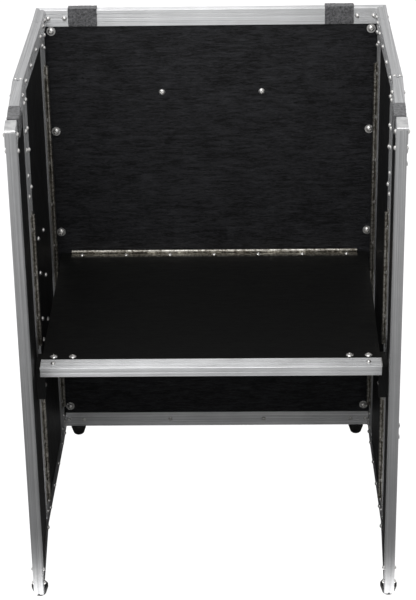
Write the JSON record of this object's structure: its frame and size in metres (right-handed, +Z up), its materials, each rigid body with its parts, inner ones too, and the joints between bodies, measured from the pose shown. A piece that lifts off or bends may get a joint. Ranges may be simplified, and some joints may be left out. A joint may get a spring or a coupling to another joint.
{
  "type": "fold-out equipment stand",
  "caption": "Fold-out equipment stand in flight-case construction: back panel, hinged side sections and a fold-up shelf, black ply in aluminium channel.",
  "frame": {"origin": "on the floor, under the middle of the stand", "axes": "+X to the right, +Y towards the back panel, +Z up; the open side faces -Y"},
  "size_m": [0.5736, 0.5257, 0.766],
  "materials": {
    "black_ply": "black laminated ply, fine grain, semi-matte",
    "black_cleat": "black painted block",
    "aluminium_channel": "satin extruded, ribbed",
    "hinge_steel": "dull plated steel",
    "nickel_fasteners": "bright nickel plate",
    "cap_steel": "zinc-plated sheet",
    "plated_hardware": "bright zinc plate",
    "fuzzy_pad": "dark grey looped pile",
    "foot_rubber": "black rubber"
  },
  "bodies": {
    "back": {"back_bolts": "nickel_fasteners", "back_bottom_rail": "aluminium_channel", "back_feet": "foot_rubber", "back_left_pad": "fuzzy_pad", "back_panel": "black_ply", "back_right_pad": "fuzzy_pad", "back_rivets": "nickel_fasteners", "back_top_rail": "aluminium_channel", "corner_angles": "aluminium_channel", "left_rear_hinge_fixed_leaf": "hinge_steel", "left_rear_hinge_pin": "hinge_steel", "left_return_frame": "aluminium_channel", "left_return_panel": "black_ply", "left_return_rivets": "nickel_fasteners", "right_rear_hinge_fixed_leaf": "hinge_steel", "right_rear_hinge_pin": "hinge_steel", "right_return_frame": "aluminium_channel", "right_return_panel": "black_ply", "right_return_rivets": "nickel_fasteners", "shelf_hinge_back_leaf": "hinge_steel", "shelf_hinge_pin": "hinge_steel"},
    "left_rear_side": {"catch_plates": "plated_hardware", "handle_plate": "plated_hardware", "left_front_hinge_pins": "hinge_steel", "left_front_hinge_rear_leaves": "hinge_steel", "left_rear_hinge_moving_leaf": "hinge_steel", "left_rear_side_fasteners": "nickel_fasteners", "left_rear_side_frame": "aluminium_channel", "left_rear_side_panel": "black_ply"},
    "left_front_side": {"left_corner_cap": "cap_steel", "left_front_foot": "foot_rubber", "left_front_hinge_front_leaves": "hinge_steel", "left_front_side_fasteners": "nickel_fasteners", "left_front_side_frame": "aluminium_channel", "left_front_side_panel": "black_ply", "left_shelf_cleat": "black_cleat", "left_side_pad": "fuzzy_pad"},
    "right_rear_side": {"latch_plates": "plated_hardware", "right_front_hinge_pins": "hinge_steel", "right_front_hinge_rear_leaves": "hinge_steel", "right_rear_hinge_moving_leaf": "hinge_steel", "right_rear_side_fasteners": "nickel_fasteners", "right_rear_side_frame": "aluminium_channel", "right_rear_side_panel": "black_ply"},
    "right_front_side": {"right_corner_cap": "cap_steel", "right_front_foot": "foot_rubber", "right_front_hinge_front_leaves": "hinge_steel", "right_front_side_fasteners": "nickel_fasteners", "right_front_side_frame": "aluminium_channel", "right_front_side_panel": "black_ply", "right_shelf_cleat": "black_cleat", "right_side_pad": "fuzzy_pad"},
    "shelf": {"shelf_brackets": "plated_hardware", "shelf_front_rail": "aluminium_channel", "shelf_hinge_shelf_leaf": "hinge_steel", "shelf_panel": "black_ply", "shelf_screws": "nickel_fasteners"},
    "upper_latch_wing": {"upper_latch_wing": "plated_hardware"},
    "lower_latch_wing": {"lower_latch_wing": "plated_hardware"},
    "handle_bail": {"handle_bail": "plated_hardware"}
  },
  "joints": [
    {"name": "shelf_fold", "type": "hinge", "parent": "back", "child": "shelf", "pos_m": [0, 0.2419, 0.3483], "axis": [-1, 0, 0], "range_deg": [0, 90]},
    {"name": "left_rear_hinge", "type": "hinge", "parent": "back", "child": "left_rear_side", "pos_m": [-0.2547, 0.1918, 0], "axis": [0, 0, 1], "range_deg": [-0.4, 0.5]},
    {"name": "left_front_hinge", "type": "hinge", "parent": "left_rear_side", "child": "left_front_side", "pos_m": [-0.25915, -0.06296, 0], "axis": [0, 0, 1], "range_deg": [-3.6, 0.8]},
    {"name": "right_rear_hinge", "type": "hinge", "parent": "back", "child": "right_rear_side", "pos_m": [0.2547, 0.1918, 0], "axis": [0, 0, -1], "range_deg": [-0.4, 0.5]},
    {"name": "right_front_hinge", "type": "hinge", "parent": "right_rear_side", "child": "right_front_side", "pos_m": [0.25915, -0.06296, 0], "axis": [0, 0, -1], "range_deg": [-2.8, 1.6]},
    {"name": "upper_latch_turn", "type": "hinge", "parent": "right_rear_side", "child": "upper_latch_wing", "pos_m": [0.2772, -0.04894, 0.633], "axis": [-0.9998, -0.0175, 0], "range_deg": [0, 90]},
    {"name": "lower_latch_turn", "type": "hinge", "parent": "right_rear_side", "child": "lower_latch_wing", "pos_m": [0.2772, -0.04894, 0.174], "axis": [-0.9998, -0.0175, 0], "range_deg": [0, 90]},
    {"name": "handle_lift", "type": "hinge", "parent": "left_rear_side", "child": "handle_bail", "pos_m": [-0.28013, 0.07013, 0.39], "axis": [0, 0, -1], "range_deg": [0, 90]}
  ]
}
